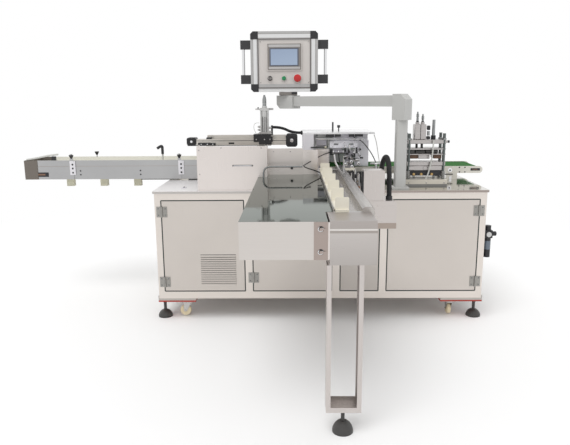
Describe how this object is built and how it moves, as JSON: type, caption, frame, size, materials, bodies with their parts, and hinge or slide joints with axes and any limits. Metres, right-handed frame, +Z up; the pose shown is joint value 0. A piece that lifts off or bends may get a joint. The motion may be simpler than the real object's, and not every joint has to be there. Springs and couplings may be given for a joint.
{
  "type": "bagging machine",
  "caption": "Bagging machine: steel cabinet with doors, infeed conveyor, transfer axis, bag station, green belt, press, flight lane to the front and a control panel on an arm.",
  "frame": {"origin": "middle of the whole length and depth, on the floor", "axes": "+X to the machine's right seen from the front, +Y to the back, +Z up"},
  "size_m": [3.3359, 2.379, 1.928],
  "materials": {
    "cabinet_steel": "brushed stainless steel, warm light grey",
    "worktop_steel": "polished stainless steel",
    "housing_steel": "brushed stainless steel, slightly brown",
    "table_steel": "dark reflective stainless steel",
    "aluminium": "anodised aluminium",
    "chrome": "bright chrome",
    "red_paint": "red paint",
    "grey_paint": "light grey powder coat",
    "dark_steel": "dark grey feet",
    "caster_zinc": "zinc plated",
    "caster_tyre": "cream nylon wheel",
    "ivory_plastic": "ivory plastic",
    "beige_plastic": "beige plastic",
    "green_rubber": "green belt",
    "black_plastic": "black plastic",
    "black_rubber": "black hose",
    "panel_plate": "beige grey front plate",
    "controls": "screen and coloured buttons"
  },
  "bodies": {
    "machine": {"worktop": "worktop_steel", "cabinet_sides": "cabinet_steel", "cabinet_back": "cabinet_steel", "front_rails": "cabinet_steel", "front_posts": "cabinet_steel", "fixed_panel": "cabinet_steel", "frame_hinges": "chrome", "base_bars": "red_paint", "levelling_feet": "dark_steel", "deck": "table_steel", "lane_end": "housing_steel", "lane_channel": "table_steel", "flight_chain": "ivory_plastic", "leg_frame": "housing_steel", "drive_box": "housing_steel", "valve_cover": "housing_steel", "hoses": "black_rubber", "hose_glands": "black_plastic", "infeed_sides": "housing_steel", "infeed_bed": "cabinet_steel", "infeed_chain": "beige_plastic", "conveyor_rollers": "aluminium", "feeder_guard": "housing_steel", "recess_wall": "housing_steel", "transfer_beam": "aluminium", "transfer_ends": "black_plastic", "station_frame": "grey_paint", "hood_top": "grey_paint", "bag_mouth": "aluminium", "hanging_plates": "aluminium", "valve_bank": "aluminium", "station_table": "ivory_plastic", "green_belt": "green_rubber", "belt_frame": "aluminium", "press_base": "ivory_plastic", "press_columns": "chrome", "press_anvil": "aluminium", "press_head": "aluminium", "support_arm": "grey_paint", "filter_regulator": "black_plastic"},
    "door_left": {"door_left": "cabinet_steel"},
    "door_middle": {"door_middle": "cabinet_steel"},
    "door_right": {"door_right": "cabinet_steel"},
    "carriage": {"transfer_carriage": "black_plastic", "lift_cylinder": "aluminium"},
    "press": {"press_platen": "aluminium"},
    "panel": {"panel_box": "aluminium", "panel_corners": "black_plastic", "panel_face": "panel_plate", "panel_controls": "controls", "panel_handles": "chrome"},
    "caster_1": {"caster_fork_1": "caster_zinc"},
    "wheel_1": {"caster_wheel_1": "caster_tyre"},
    "caster_2": {"caster_fork_2": "caster_zinc"},
    "wheel_2": {"caster_wheel_2": "caster_tyre"},
    "caster_3": {"caster_fork_3": "caster_zinc"},
    "wheel_3": {"caster_wheel_3": "caster_tyre"},
    "caster_4": {"caster_fork_4": "caster_zinc"},
    "wheel_4": {"caster_wheel_4": "caster_tyre"}
  },
  "joints": [
    {"name": "door_left_hinge", "type": "hinge", "parent": "machine", "child": "door_left", "pos_m": [-0.552, 0.1935, 0.513], "axis": [0, 0, -1], "range_deg": [0, 110]},
    {"name": "door_middle_hinge", "type": "hinge", "parent": "machine", "child": "door_middle", "pos_m": [0.037, 0.1935, 0.49], "axis": [0, 0, -1], "range_deg": [0, 110]},
    {"name": "door_right_hinge", "type": "hinge", "parent": "machine", "child": "door_right", "pos_m": [1.495, 0.1935, 0.513], "axis": [0, 0, 1], "range_deg": [0, 110]},
    {"name": "panel_turn", "type": "hinge", "parent": "machine", "child": "panel", "pos_m": [0.267, 0.8885, 1.494], "axis": [0, 0, 1], "range_deg": [-90, 90]},
    {"name": "transfer_slide", "type": "slide", "parent": "machine", "child": "carriage", "axis": [1, 0, 0], "range_m": [-0.31, 0.07]},
    {"name": "press_slide", "type": "slide", "parent": "machine", "child": "press", "axis": [0, 0, 1], "range_m": [-0.011, 0.021]},
    {"name": "caster_1_swivel", "type": "hinge", "parent": "machine", "child": "caster_1", "pos_m": [-0.415, 0.2895, 0.102], "axis": [0, 0, 1], "continuous": true},
    {"name": "wheel_1_axle", "type": "hinge", "parent": "caster_1", "child": "wheel_1", "pos_m": [-0.44, 0.2895, 0.046], "axis": [0, -1, 0], "continuous": true},
    {"name": "caster_2_swivel", "type": "hinge", "parent": "machine", "child": "caster_2", "pos_m": [1.359, 0.2895, 0.102], "axis": [0, 0, 1], "continuous": true},
    {"name": "wheel_2_axle", "type": "hinge", "parent": "caster_2", "child": "wheel_2", "pos_m": [1.359, 0.3145, 0.046], "axis": [-1, 0, 0], "continuous": true},
    {"name": "caster_3_swivel", "type": "hinge", "parent": "machine", "child": "caster_3", "pos_m": [-0.415, 1.0895, 0.102], "axis": [0, 0, 1], "continuous": true},
    {"name": "wheel_3_axle", "type": "hinge", "parent": "caster_3", "child": "wheel_3", "pos_m": [-0.43849, 1.08095, 0.046], "axis": [0.342, -0.9397, 0], "continuous": true},
    {"name": "caster_4_swivel", "type": "hinge", "parent": "machine", "child": "caster_4", "pos_m": [1.359, 1.0895, 0.102], "axis": [0, 0, 1], "continuous": true},
    {"name": "wheel_4_axle", "type": "hinge", "parent": "caster_4", "child": "wheel_4", "pos_m": [1.36547, 1.11365, 0.046], "axis": [-0.9659, 0.2588, 0], "continuous": true}
  ]
}
